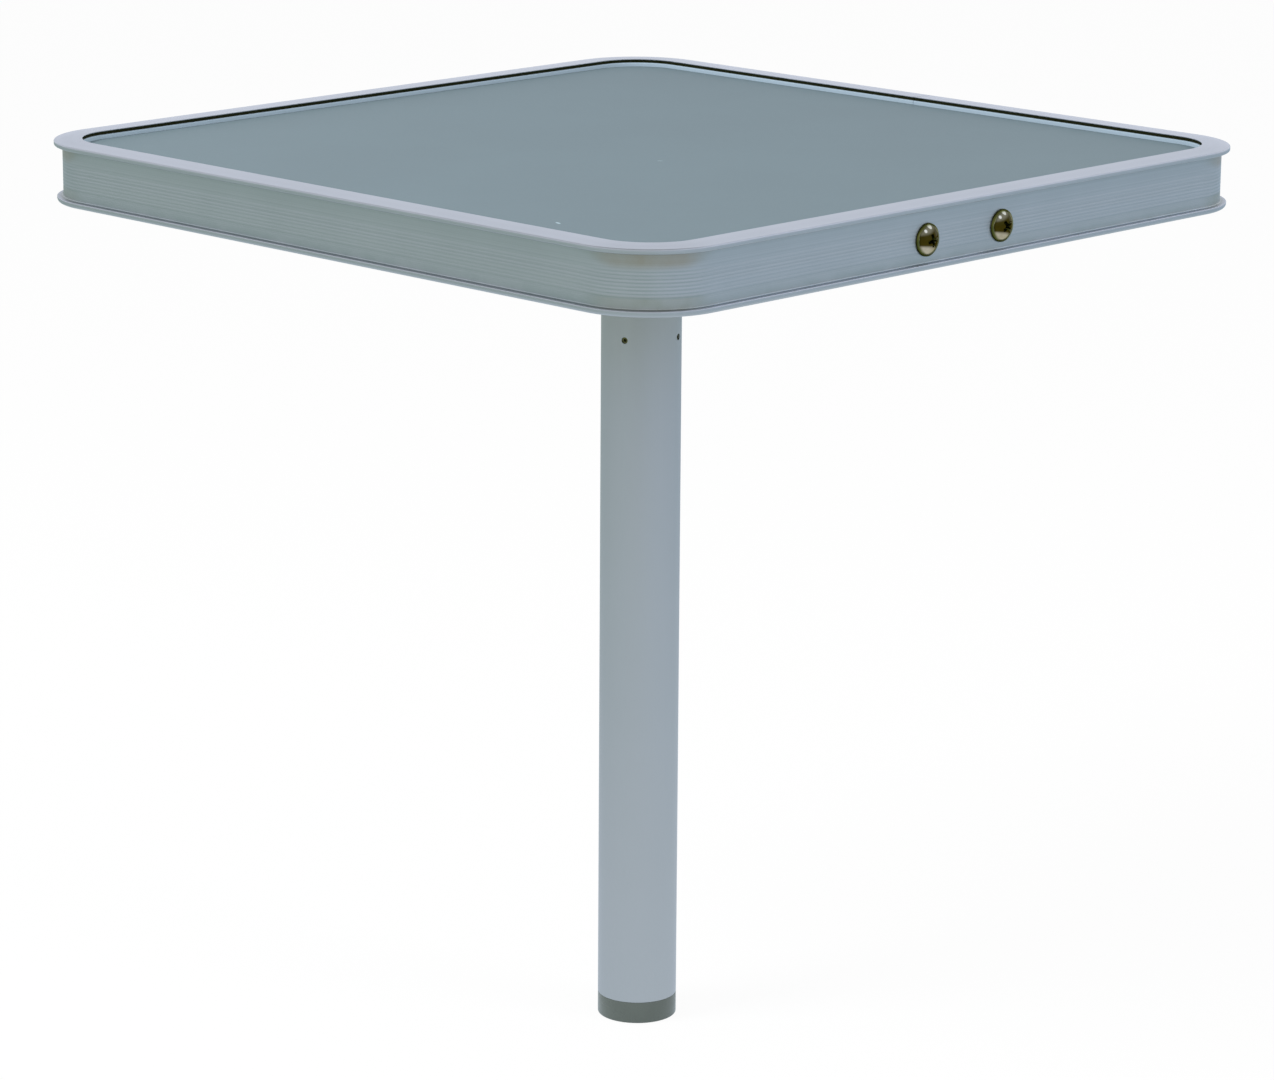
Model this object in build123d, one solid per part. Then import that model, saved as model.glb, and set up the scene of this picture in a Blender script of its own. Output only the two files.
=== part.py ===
from build123d import *
import os
from math import asin, cos, radians, sin

# Square camping table on one screw-in leg, in millimetres.
# The origin is on the floor under the middle of the leg, +Z is up and the sides run along X and Y.

# Overall sizes
top_side = 420.0
overall_height = 440.0
corner_radius = 40.0
frame_height = 30.0

# Edge frame, an extrusion bent round the panel; the lips stand out past its web
upper_lip = 4.0
lower_lip = 3.0
web_wall = 1.8
lip_thick = 2.4
flange_width = 13.5
flange_thick = 1.2
flange_tip_thick = 0.3
flange_slope = 2.5
flange_rise = 0.5
ledge_reach = 10.0
ledge_thick = 1.5
lower_reach = 7.0
lower_thick = 2.6
tip_radius = 0.6
seam_gap = 0.3
groove_count = 10
groove_pitch = 1.15
groove_width = 0.6
groove_depth = 0.12
groove_drop = 10.5

# Splice bar that closes the ring, and its rivets
splice_length = 90.0
splice_thick = 2.0
splice_clear = 0.3
rivet_seam_gap = 14.0
rivet_end_gap = 11.0
rivet_radius = 2.0
rivet_head_radius = 3.5
rivet_head_height = 1.2
rivet_rim = 0.3
rivet_tail_radius = 3.0
rivet_tail_height = 1.5

# Panel: a laminate, a board and a backing sheet; a bead and a rubber gasket hold the board down
laminate_thick = 0.7
board_thick = 2.5
backing_thick = 0.5
gasket_thick = 0.7
gasket_edge = 0.5
gasket_setback = 0.5
bead_height = 1.9
bead_reach = 0.4
bead_corner = 0.5
laminate_clear = 0.1

# Cross rails and what is in their ends
rail_spacing = 51.0
rail_shift = -5.0
rail_width = 20.0
rail_height = 15.0
rail_wall = 1.4
rail_corner = 1.5
rail_clear = 0.2
insert_length = 24.0
insert_clear = 0.1
pad_width = 12.0
pad_end_gap = 1.0

# Screws in the sides of the frame
side_screw_radius = 3.0
side_screw_length = 20.0
side_head_radius = 7.5
side_head_height = 4.0
side_head_rim = 0.9
side_recess_span = 7.6
side_recess_width = 1.7
side_recess_depth = 2.3

# Plate under the rails, with nut bars inside them
plate_thick = 3.0
plate_corner = 8.0
plate_side_margin = 14.0
plate_end_margin = 8.0
nut_bar_end_margin = 6.0
nut_bar_thick = 4.0
nut_bar_clear = 0.9
plate_screw_radius = 2.5
plate_screw_margin = 2.0
plate_screw_length = 10.0
pan_head_radius = 4.6
pan_head_height = 3.0
pan_head_rim = 1.1
pan_recess_span = 5.0
pan_recess_width = 1.2
pan_recess_depth = 1.8
screw_clear = 0.25

# Hub that takes the leg
hub_wall = 3.7
hub_taper = 3.0
hub_screw_gap = 0.4
hub_flange_margin = 1.4
hub_flange_thick = 5.0
hub_screw_count = 4
cup_depth = 12.0
cup_clear = 0.3
cup_chamfer = 0.8
bush_length = 18.0
bush_wall = 3.42
bush_flange = 3.5
bush_flange_thick = 2.5

# Leg: tube, plug, stud and washer
leg_radius = 19.5
leg_wall = 1.5
plug_length = 62.0
plug_solid = 34.0
plug_skirt = 6.4
plug_clear = 0.1
stud_radius = 6.0
stud_sunk = 26.0
thread_pitch = 1.75
thread_depth = 0.95
thread_turns = 8
thread_clear = 0.08
washer_inset = 2.5
washer_thick = 1.5
washer_clear = 0.4
pin_radius = 1.5
pin_drop = 14.0
pin_short = 0.6
set_screw_count = 4
set_screw_turn = 20.0
set_screw_drop = 47.4
set_screw_radius = 1.5
set_screw_length = 6.0
set_screw_sunk = 0.7
set_screw_clear = 0.1
socket_radius = 0.9
socket_depth = 1.6

# Foot cap
foot_height = 10.8
foot_chamfer = 0.5
foot_spigot = 24.0
foot_wall = 2.4
foot_floor = 4.0
foot_rib_count = 3
foot_rib_height = 1.6
foot_rib_rise = 0.5

# One overrun serves every cut
overrun = 1.0

# Places worked out from the sizes
half_side = top_side / 2
frame_base = overall_height - frame_height
web_outer = upper_lip
web_inner = upper_lip + web_wall
lower_tip = upper_lip - lower_lip
bead_top = overall_height - flange_thick - gasket_thick
bead_inner = flange_width + bead_reach
panel_top = bead_top - bead_height
board_top = panel_top - laminate_thick
backing_top = board_top - board_thick
panel_base = backing_top - backing_thick
ledge_base = panel_base - ledge_thick
rail_top = ledge_base - rail_clear
rail_base = rail_top - rail_height
side_screw_z = rail_top - rail_height / 2
rail_half_length = half_side - web_inner
rail_places = [rail_shift - rail_spacing / 2, rail_shift + rail_spacing / 2]
rivet_far = splice_length / 2 - rivet_end_gap
plate_top = rail_base
plate_base = plate_top - plate_thick
hub_flange_base = plate_base - hub_flange_thick
cup_floor = plate_base - bush_length
hub_base = cup_floor - cup_depth
leg_top = cup_floor - washer_thick
thread_travel = thread_pitch * thread_turns
stud_tip = cup_floor + thread_travel
tube_bore_radius = leg_radius - leg_wall
plug_radius = tube_bore_radius - plug_clear
plug_bore_radius = plug_radius - plug_skirt
cup_radius = leg_radius + cup_clear
hub_mouth_radius = cup_radius + hub_wall
hub_body_radius = hub_mouth_radius + hub_taper
hub_screw_circle_radius = hub_body_radius + hub_screw_gap + pan_head_radius
hub_flange_radius = hub_screw_circle_radius + pan_head_radius + hub_flange_margin
bush_bore_radius = stud_radius + thread_clear
bush_radius = bush_bore_radius + bush_wall
bush_flange_radius = bush_radius + bush_flange
plate_screw_y = hub_flange_radius + plate_screw_margin
plate_length = 2 * (plate_screw_y + plate_end_margin)
plate_width = rail_spacing + rail_width + 2 * plate_side_margin
nut_bar_length = 2 * (plate_screw_y + nut_bar_end_margin)

low_align = (Align.CENTER, Align.CENTER, Align.MIN)


def rod(radius, low, high, x=0.0, y=0.0):
    """Upright cylinder between two heights."""
    return Pos(x, y, low) * Cylinder(radius, high - low, align=low_align)


def slab(size_x, size_y, low, high, corner, x=0.0, y=0.0):
    """Flat plate with rounded corners between two heights."""
    outline = RectangleRounded(size_x, size_y, corner)
    return Pos(x, y, low) * extrude(outline, amount=high - low)


def bent_strip(points, rounded=(), tip=0.0):
    """A section bent round the table top, open by the seam gap in the middle of the +X side.
    Its points are (distance in from the outer edge, height)."""
    outline = make_face(Polyline(*points, close=True))
    if rounded:
        tips = [v for v in outline.vertices() if any(abs(Vector(v) - Vector(p)) < tip for p in rounded)]
        outline = fillet(tips, tip)
    start = (half_side, seam_gap / 2, 0)
    end = (half_side, -seam_gap / 2, 0)
    corners = [(half_side * i, half_side * j, 0) for i, j in ((1, 1), (-1, 1), (-1, -1), (1, -1))]
    path = FilletPolyline(start, *corners, end, radius=corner_radius)
    plane = Plane(origin=start, x_dir=(-1, 0, 0), z_dir=(0, 1, 0))
    return sweep(plane * outline, path=path)


def dome_head(radius, height, rim):
    """Low domed head that stands on Z = 0."""
    sphere_radius = (radius**2 + (height - rim) ** 2) / (2 * (height - rim))
    half_angle = asin(radius / sphere_radius) / 2
    middle = (sphere_radius * sin(half_angle), height - sphere_radius + sphere_radius * cos(half_angle))
    sides = Polyline((0, height), (0, 0), (radius, 0), (radius, rim))
    crown = ThreePointArc((radius, rim), middle, (0, height))
    outline = make_face([*sides.edges(), *crown.edges()])
    return revolve(Plane.XZ * outline, Axis.Z)


def cross_recess(span, width, depth, height):
    """Tapered cross cut from the top of a head."""
    taper_share = 0.4
    cutter = None
    for turn in (0, 90):
        mouth = Pos(0, 0, height) * Rectangle(span, width)
        floor = Pos(0, 0, height - depth) * Rectangle(span * taper_share, width * taper_share)
        arm = Rot(0, 0, turn) * loft([floor, mouth])
        cutter = arm if cutter is None else cutter + arm
    return cutter


def screw(radius, length, head_radius, head_height, head_rim, span, width, depth):
    """Cross-recess screw with its head above Z = 0 and its shank below."""
    head = dome_head(head_radius, head_height, head_rim)
    tip_share = 0.25
    shank = rod(radius, -length, 0)
    shank = chamfer(shank.edges().sort_by(Axis.Z)[0], radius * tip_share)
    return head + shank - cross_recess(span, width, depth, head_height)


def pan_screw(length):
    return screw(plate_screw_radius, length, pan_head_radius, pan_head_height, pan_head_rim,
                 pan_recess_span, pan_recess_width, pan_recess_depth)


def on_both_sides(place):
    """Copies for the -Y and the +Y side of the frame, one on each rail."""
    return [place(x, side) for x in rail_places for side in (-1, 1)]


def side_placed(solid, x, side):
    """Turns a screw that points along -Z so that its head stands on the web's outer face."""
    return Pos(x, side * (half_side - web_outer), side_screw_z) * Rot(-90 * side, 0, 0) * solid


def flange_underside(inset):
    """Height of the upper flange's underside, which slopes up to its thin inner tip."""
    slope_share = min(1, (flange_width - inset) / flange_slope)
    return overall_height - flange_tip_thick - (flange_thick - flange_tip_thick) * slope_share


def edge_frame():
    flange_base = overall_height - flange_thick
    slope_start = flange_width - flange_slope
    lip_top = overall_height - flange_rise
    lip_base = lip_top - lip_thick
    lower_top = frame_base + lower_thick
    ledge_end = web_inner + ledge_reach
    lower_end = web_inner + lower_reach
    points = [(0, lip_top), (flange_width, overall_height),
              (flange_width, overall_height - flange_tip_thick), (slope_start, flange_base),
              (web_inner, flange_base), (web_inner, panel_base), (ledge_end, panel_base),
              (ledge_end, ledge_base), (web_inner, ledge_base), (web_inner, lower_top),
              (lower_end, lower_top), (lower_end, frame_base), (lower_tip, frame_base),
              (lower_tip, lower_top), (web_outer, lower_top)]
    lowest_groove = overall_height - groove_drop - groove_pitch * (groove_count - 1)
    for number in range(groove_count):
        middle = lowest_groove + groove_pitch * number
        points += [(web_outer, middle - groove_width / 2), (web_outer + groove_depth, middle),
                   (web_outer, middle + groove_width / 2)]
    points += [(web_outer, lip_base), (0, lip_base)]
    tips = [(0, lip_top), (0, lip_base), (lower_tip, frame_base), (lower_tip, lower_top)]
    frame = bent_strip(points, tips, tip_radius)
    for x in rail_places:
        drill = Cylinder(side_screw_radius + screw_clear, top_side + overrun)
        frame -= Pos(x, 0, side_screw_z) * Rot(90, 0, 0) * drill
    for y in rivet_places():
        drill = Cylinder(rivet_radius, web_wall * 2 + overrun)
        frame -= Pos(half_side - web_outer - web_wall / 2, y, splice_z()) * Rot(0, 90, 0) * drill
    return frame


def splice_z():
    return (frame_base + lower_thick + ledge_base) / 2


def rivet_places():
    return [-rivet_far, -rivet_seam_gap, rivet_seam_gap, rivet_far]


def frame_splice():
    height = ledge_base - frame_base - lower_thick - 2 * splice_clear
    x = half_side - web_inner - splice_thick / 2
    bar = Pos(x, 0, splice_z()) * Box(splice_thick, splice_length, height)
    for y in rivet_places():
        bar -= Pos(x, y, splice_z()) * Rot(0, 90, 0) * Cylinder(rivet_radius, splice_thick + overrun)
    return bar


def splice_rivets():
    grip = web_wall + splice_thick
    rivets = []
    for y in rivet_places():
        head = dome_head(rivet_head_radius, rivet_head_height, rivet_rim)
        body = rod(rivet_radius, -grip, 0)
        tail = rod(rivet_tail_radius, -grip - rivet_tail_height, -grip)
        rivets.append(Pos(half_side - web_outer, y, splice_z()) * Rot(0, 90, 0) * (head + body + tail))
    return rivets


def panel_sheet(low, high, inset):
    side = top_side - 2 * inset
    return slab(side, side, low, high, corner_radius - inset)


def panel_gasket():
    lip_end = flange_width - gasket_setback
    slope_start = flange_width - flange_slope
    points = [(web_inner, panel_base), (web_inner, flange_underside(web_inner)),
              (slope_start, flange_underside(slope_start)), (lip_end, flange_underside(lip_end)),
              (lip_end, bead_top), (web_inner + gasket_edge, bead_top),
              (web_inner + gasket_edge, panel_base)]
    return bent_strip(points)


def panel_bead():
    outer = web_inner + gasket_edge
    points = [(outer, board_top), (outer, bead_top), (bead_inner, bead_top), (bead_inner, board_top)]
    return bent_strip(points, [(bead_inner, bead_top)], bead_corner)


def rail_section(shrink, corner):
    return RectangleRounded(rail_width - 2 * shrink, rail_height - 2 * shrink, corner)


def cross_rail(x):
    ring = rail_section(0, rail_corner) - rail_section(rail_wall, rail_corner / 2)
    tube = extrude(ring, amount=2 * rail_half_length)
    rail = Pos(x, rail_half_length, side_screw_z) * Rot(90, 0, 0) * tube
    drill = rod(plate_screw_radius + screw_clear, rail_base - overrun, rail_base + rail_wall + overrun)
    for y in (-plate_screw_y, plate_screw_y):
        rail -= Pos(x, y, 0) * drill
    return rail


def rail_insert(x, side):
    block = extrude(rail_section(rail_wall + insert_clear, rail_corner / 2), amount=insert_length)
    block -= rod(side_screw_radius, -overrun, insert_length + overrun)
    return Pos(x, side * rail_half_length, side_screw_z) * Rot(90 * side, 0, 0) * block


def side_screw(x, side):
    whole = screw(side_screw_radius, side_screw_length, side_head_radius, side_head_height, side_head_rim,
                  side_recess_span, side_recess_width, side_recess_depth)
    return side_placed(whole, x, side)


def rail_pad(x):
    length = top_side - 2 * (web_inner + ledge_reach + pad_end_gap)
    return Pos(x, 0, rail_top) * Box(pad_width, length, panel_base - rail_top, align=low_align)


def mount_plate():
    plate = slab(plate_width, plate_length, plate_base, plate_top, plate_corner)
    for x, y in plate_screw_places():
        plate -= rod(plate_screw_radius + screw_clear, plate_base - overrun, plate_top + overrun, x, y)
    for x, y in hub_screw_places():
        plate -= rod(plate_screw_radius, plate_base - overrun, plate_top + overrun, x, y)
    return plate


def plate_screw_places():
    return [(x, side * plate_screw_y) for x in rail_places for side in (-1, 1)]


def hub_screw_places():
    turns = [radians(360 / hub_screw_count * number) for number in range(hub_screw_count)]
    return [(hub_screw_circle_radius * cos(turn), hub_screw_circle_radius * sin(turn)) for turn in turns]


def nut_bar(x):
    width = rail_width - 2 * (rail_wall + nut_bar_clear)
    low = rail_base + rail_wall
    bar = slab(width, nut_bar_length, low, low + nut_bar_thick, rail_corner / 2, x)
    for y in (-plate_screw_y, plate_screw_y):
        bar -= rod(plate_screw_radius, low - overrun, low + nut_bar_thick + overrun, x, y)
    return bar


def screw_from_below(length, x, y, seat):
    return Pos(x, y, seat) * Rot(180, 0, 0) * pan_screw(length)


def leg_hub():
    outline = [(0, plate_base), (hub_flange_radius, plate_base), (hub_flange_radius, hub_flange_base),
               (hub_body_radius, hub_flange_base), (hub_mouth_radius, hub_base), (0, hub_base)]
    hub = revolve(Plane.XZ * make_face(Polyline(*outline, close=True)), Axis.Z)
    hub -= rod(cup_radius, hub_base - overrun, cup_floor)
    mouth = hub.edges().filter_by(GeomType.CIRCLE).filter_by_position(Axis.Z, hub_base, hub_base)
    hub = chamfer(mouth.sort_by(SortBy.RADIUS)[0], cup_chamfer)
    hub -= rod(bush_radius, cup_floor - overrun, plate_base + overrun)
    hub -= rod(bush_flange_radius, plate_base - bush_flange_thick, plate_base + overrun)
    for x, y in hub_screw_places():
        hub -= rod(plate_screw_radius + screw_clear, hub_flange_base - overrun, plate_base + overrun, x, y)
    return hub


def hub_bush():
    bush = rod(bush_radius, cup_floor, plate_base)
    bush += rod(bush_flange_radius, plate_base - bush_flange_thick, plate_base)
    return bush - rod(bush_bore_radius, cup_floor - overrun, plate_base + overrun)


def thrust_washer():
    washer = rod(leg_radius - washer_inset, leg_top, cup_floor)
    return washer - rod(stud_radius + washer_clear, leg_top - overrun, cup_floor + overrun)


def leg_stud():
    root_radius = stud_radius - thread_depth
    neck_low = leg_top - stud_sunk
    stud = rod(root_radius, neck_low, stud_tip) + rod(stud_radius, neck_low, leg_top)
    ridge_half_share = 0.4
    crest_share = 0.12
    turns = int((stud_tip - leg_top) / thread_pitch)
    for number in range(turns):
        middle = leg_top + thread_pitch * (number + 0.5)
        root_half = thread_pitch * ridge_half_share
        crest_half = thread_pitch * crest_share
        ridge = [(0, middle - root_half), (root_radius, middle - root_half),
                 (stud_radius, middle - crest_half), (stud_radius, middle + crest_half),
                 (root_radius, middle + root_half), (0, middle + root_half)]
        stud += revolve(Plane.XZ * make_face(Polyline(*ridge, close=True)), Axis.Z)
    pin_bore = Rot(0, 90, 0) * Cylinder(pin_radius, 2 * stud_radius + overrun)
    return stud - Pos(0, 0, leg_top - pin_drop) * pin_bore


def leg_plug():
    low = leg_top - plug_length
    plug = rod(plug_radius, low, leg_top)
    plug -= rod(plug_bore_radius, low - overrun, leg_top - plug_solid)
    plug -= rod(stud_radius, leg_top - stud_sunk, leg_top + overrun)
    plug -= Pos(0, 0, leg_top - pin_drop) * Rot(0, 90, 0) * Cylinder(pin_radius, 2 * plug_radius + overrun)
    return plug - set_screw_drills(set_screw_radius)


def stud_pin():
    pin = Cylinder(pin_radius, 2 * (plug_radius - pin_short))
    return Pos(0, 0, leg_top - pin_drop) * Rot(0, 90, 0) * pin


def set_screw_turns():
    return [set_screw_turn + 360 / set_screw_count * number for number in range(set_screw_count)]


def radial(solid, turn):
    """Turns a piece that lies along +Z so that it points outwards at the height of the set screws."""
    return Pos(0, 0, leg_top - set_screw_drop) * Rot(0, 0, turn) * Rot(0, 90, 0) * solid


def set_screw_drills(radius):
    drill = rod(radius, plug_bore_radius / 2, leg_radius + overrun)
    drills = [radial(drill, turn) for turn in set_screw_turns()]
    return drills[0] + drills[1:]


def set_screw(turn):
    outer = leg_radius - set_screw_sunk
    grub = rod(set_screw_radius, outer - set_screw_length, outer)
    socket = extrude(RegularPolygon(socket_radius, 6), amount=socket_depth + overrun)
    return radial(grub - Pos(0, 0, outer - socket_depth) * socket, turn)


def leg_tube():
    tube = rod(leg_radius, foot_height, leg_top)
    tube -= rod(tube_bore_radius, foot_height - overrun, leg_top + overrun)
    return tube - set_screw_drills(set_screw_radius + set_screw_clear)


def foot_cap():
    rim = rod(leg_radius, 0, foot_height)
    rim = chamfer(rim.edges().sort_by(Axis.Z)[0], foot_chamfer)
    spigot_radius = plug_radius - foot_rib_rise
    spigot_top = foot_height + foot_spigot
    cap = rim + rod(spigot_radius, foot_height, spigot_top)
    for number in range(foot_rib_count):
        middle = foot_height + foot_spigot * (number + 1) / (foot_rib_count + 1)
        cap += rod(plug_radius, middle - foot_rib_height / 2, middle + foot_rib_height / 2)
    return cap - rod(spigot_radius - foot_wall, foot_floor, spigot_top + overrun)


def build_nodes():
    board_inset = web_inner + gasket_edge
    return {
        "edge_frame": [edge_frame()],
        "frame_splice": [frame_splice()],
        "splice_rivets": splice_rivets(),
        "panel_laminate": [panel_sheet(board_top, panel_top, bead_inner + laminate_clear)],
        "panel_board": [panel_sheet(backing_top, board_top, board_inset)],
        "panel_backing": [panel_sheet(panel_base, backing_top, board_inset)],
        "panel_gasket": [panel_gasket()],
        "panel_bead": [panel_bead()],
        "cross_rail_left": [cross_rail(rail_places[0])],
        "cross_rail_right": [cross_rail(rail_places[1])],
        "rail_inserts": on_both_sides(rail_insert),
        "rail_pads": [rail_pad(x) for x in rail_places],
        "side_screws": on_both_sides(side_screw),
        "mount_plate": [mount_plate()],
        "nut_bars": [nut_bar(x) for x in rail_places],
        "plate_screws": [screw_from_below(plate_screw_length, x, y, plate_base)
                         for x, y in plate_screw_places()],
        "leg_hub": [leg_hub()],
        "hub_screws": [screw_from_below(hub_flange_thick + plate_thick, x, y, hub_flange_base)
                       for x, y in hub_screw_places()],
        "hub_bush": [hub_bush()],
        "thrust_washer": [thrust_washer()],
        "leg_stud": [leg_stud()],
        "leg_plug": [leg_plug()],
        "stud_pin": [stud_pin()],
        "plug_set_screws": [set_screw(turn) for turn in set_screw_turns()],
        "leg_tube": [leg_tube()],
        "foot_cap": [foot_cap()],
    }


os.makedirs("parts", exist_ok=True)
for name, pieces in build_nodes().items():
    solids = [solid for piece in pieces for solid in piece.solids()]
    whole = solids[0] if len(solids) == 1 else Compound(solids)
    export_step(whole, f"parts/{name}.step")
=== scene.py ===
import bpy
import bmesh
from math import asin, cos, pi, radians, sin
from mathutils import Matrix, Vector


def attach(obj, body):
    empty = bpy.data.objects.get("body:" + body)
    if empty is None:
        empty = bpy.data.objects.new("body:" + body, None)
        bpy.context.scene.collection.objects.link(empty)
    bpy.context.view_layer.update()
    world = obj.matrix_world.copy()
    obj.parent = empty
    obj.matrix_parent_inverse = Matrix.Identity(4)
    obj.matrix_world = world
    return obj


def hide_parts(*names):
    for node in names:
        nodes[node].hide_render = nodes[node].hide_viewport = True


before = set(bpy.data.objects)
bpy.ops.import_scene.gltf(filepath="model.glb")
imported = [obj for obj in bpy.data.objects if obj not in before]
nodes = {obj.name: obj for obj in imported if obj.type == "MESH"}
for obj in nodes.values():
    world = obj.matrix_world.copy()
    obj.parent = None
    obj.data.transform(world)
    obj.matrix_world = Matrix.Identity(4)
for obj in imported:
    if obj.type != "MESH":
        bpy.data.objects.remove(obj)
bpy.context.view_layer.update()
print("the packed table is loaded,", len(nodes), "nodes")

mm = 0.001  # sizes in the dictionaries below are in millimetres
sameSpot = 0.000001  # metres; points nearer than this are merged


def selectOnly(*pieces):
    bpy.ops.object.select_all(action="DESELECT")
    for piece in pieces:
        piece.select_set(True)
    if pieces:
        bpy.context.view_layer.objects.active = pieces[0]


def selectMesh(kind):
    bpy.ops.mesh.select_mode(type=kind)
    bpy.ops.mesh.select_all(action="SELECT")


def pick(piece, kind, chosen):
    bpy.ops.mesh.select_mode(type={"verts": "VERT", "edges": "EDGE", "faces": "FACE"}[kind])
    bpy.ops.mesh.select_all(action="DESELECT")
    mesh = bmesh.from_edit_mesh(piece.data)
    for part in getattr(mesh, kind):
        if chosen(part):
            part.select_set(True)
    bmesh.update_edit_mesh(piece.data)


def startPoint(name, spot):
    selectOnly()
    bpy.ops.mesh.primitive_plane_add(size=mm, location=spot)
    piece = bpy.context.object
    piece.name = name
    bpy.ops.object.transform_apply(location=True, rotation=True, scale=True)
    bpy.ops.object.mode_set(mode="EDIT")
    selectMesh("VERT")
    bpy.ops.mesh.merge(type="CENTER")
    return piece


def drawOutline(name, spots, rounded=()):
    # spots are joined one after another; rounded is (spot number, radius) for the corners of a closed outline
    spots = [Vector(spot) * mm for spot in spots]
    piece = startPoint(name, spots[0])
    for here, there in zip(spots[:-1], spots[1:]):
        bpy.ops.mesh.extrude_region_move(TRANSFORM_OT_translate={"value": there - here})
    if rounded:
        bpy.ops.mesh.select_all(action="SELECT")
        bpy.ops.mesh.edge_face_add()
    for number, radius in rounded:
        pick(piece, "verts", lambda v: (v.co - spots[number]).length < 10 * sameSpot)
        bpy.ops.mesh.bevel(offset=radius * mm, segments=5, affect="VERTICES")
    return piece


def finishMesh(piece, angle=35.0):
    bpy.ops.mesh.select_all(action="SELECT")
    bpy.ops.mesh.remove_doubles(threshold=sameSpot)
    bpy.ops.mesh.normals_make_consistent(inside=False)
    bpy.ops.object.mode_set(mode="OBJECT")
    bpy.ops.object.shade_smooth_by_angle(angle=radians(angle))
    return piece


def splitRounds(corners):
    # corners are (across, height, radius), and a radius of 0 leaves the corner sharp
    rounded = [(number, corner[2]) for number, corner in enumerate(corners) if corner[2]]
    return [corner[:2] for corner in corners], rounded


def turned(name, profile, steps, rounded=()):
    # a profile of (radius, height) spun about Z; with rounded corners it is a closed ring section
    piece = drawOutline(name, [(radius, 0, height) for radius, height in profile], rounded)
    if rounded:
        selectMesh("FACE")
        bpy.ops.mesh.delete(type="ONLY_FACE")
    selectMesh("VERT")
    bpy.ops.mesh.spin(steps=steps, angle=-2 * pi, center=(0, 0, 0), axis=(0, 0, 1))
    return finishMesh(piece)


def bentRound(name, corners, ring):
    # corners of (distance in, height, radius) swept round the table top, with the seam in the middle of the +X side
    half, bend, seam = ring["halfSide"], ring["corner"], ring["seam"] / 2
    outline, rounded = splitRounds(corners)
    piece = drawOutline(name, [(half - inset, seam, height) for inset, height in outline], rounded)
    selectMesh("FACE")
    straight = half - bend
    bpy.ops.mesh.extrude_region_move(TRANSFORM_OT_translate={"value": (0, (straight - seam) * mm, 0)})
    for acrossX, acrossY, goX, goY in ((1, 1, -1, 0), (-1, 1, 0, -1), (-1, -1, 1, 0), (1, -1, 0, 1)):
        middle = (acrossX * straight * mm, acrossY * straight * mm, 0)
        bpy.ops.mesh.spin(steps=ring["steps"], angle=-pi / 2, center=middle, axis=(0, 0, 1))
        run = (2 * straight if goY < 1 else straight - seam) * mm  # the last side stops at the seam
        bpy.ops.mesh.extrude_region_move(TRANSFORM_OT_translate={"value": (goX * run, goY * run, 0)})
    return finishMesh(piece)


def useModifier(piece, kind, **settings):
    modifier = piece.modifiers.new(kind.title(), kind)
    for name, value in settings.items():
        setattr(modifier, name, value)
    selectOnly(piece)
    bpy.ops.object.modifier_apply(modifier=modifier.name)


def cutAway(piece, cutters):
    for cutter in cutters:
        useModifier(piece, "BOOLEAN", object=cutter, operation="DIFFERENCE", solver="EXACT")
        bpy.data.objects.remove(cutter)
    bpy.ops.object.shade_smooth_by_angle(angle=radians(35))


def drillBit(radius, length, spot, turn):
    selectOnly()
    bpy.ops.mesh.primitive_cylinder_add(vertices=32, radius=radius * mm, depth=length * mm,
                                        location=Vector(spot) * mm, rotation=[radians(a) for a in turn])
    return bpy.context.object


def crossBits(recess, top):
    # two crossing blades and a cone, as the recess narrows downwards
    bits = []
    for turn in (0, 90):
        selectOnly()
        bpy.ops.mesh.primitive_cube_add(size=mm, location=(0, 0, 0))
        blade = bpy.context.object
        bpy.ops.object.mode_set(mode="EDIT")
        bpy.ops.mesh.select_all(action="SELECT")
        bpy.ops.transform.resize(value=(recess["span"], recess["width"], 2 * recess["depth"]))
        bpy.ops.transform.translate(value=(0, 0, top * mm))
        pick(blade, "faces", lambda f: f.normal.z < -0.9)
        bpy.ops.transform.resize(value=(recess["taper"], recess["taper"] * 1.3, 1))
        pick(blade, "edges", lambda e: abs(e.verts[0].co.z - e.verts[1].co.z) > 0.1 * mm)
        bpy.ops.mesh.bevel(offset=recess["width"] * 0.2 * mm, segments=3, affect="EDGES")
        bpy.ops.object.mode_set(mode="OBJECT")
        blade.rotation_euler.z = radians(turn)
        bpy.ops.object.transform_apply(location=True, rotation=True, scale=True)
        bits.append(blade)
    selectOnly()
    depth = recess["depth"] * mm
    bpy.ops.mesh.primitive_cone_add(vertices=24, radius1=0, radius2=recess["width"] * 1.1 * mm, depth=2 * depth,
                                    location=(0, 0, top * mm - 0.15 * depth))
    bits.append(bpy.context.object)
    return bits


def threadRidge(name, radius, thread, pitch, low, high):
    # one turn of the ridge, repeated upwards by the screw modifier and closed at both ends
    root, foot, crest = radius - thread - 0.1, pitch * 0.42, pitch * 0.07
    middle = low + foot
    outline = [(root, 0, middle - foot), (radius, 0, middle - crest),
               (radius, 0, middle + crest), (root, 0, middle + foot)]
    ridge = drawOutline(name, outline + outline[:1])
    bpy.ops.mesh.select_all(action="SELECT")
    bpy.ops.mesh.remove_doubles(threshold=sameSpot)
    bpy.ops.object.mode_set(mode="OBJECT")
    useModifier(ridge, "SCREW", angle=2 * pi, screw_offset=pitch * mm, steps=28, render_steps=28,
                iterations=int((high - low - 2 * foot) / pitch))
    bpy.ops.object.mode_set(mode="EDIT")
    bpy.ops.mesh.select_all(action="SELECT")
    bpy.ops.mesh.fill_holes(sides=0)
    return finishMesh(ridge, 30)


def joined(pieces):
    selectOnly(*pieces)
    bpy.ops.object.join()
    return pieces[0]


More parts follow.
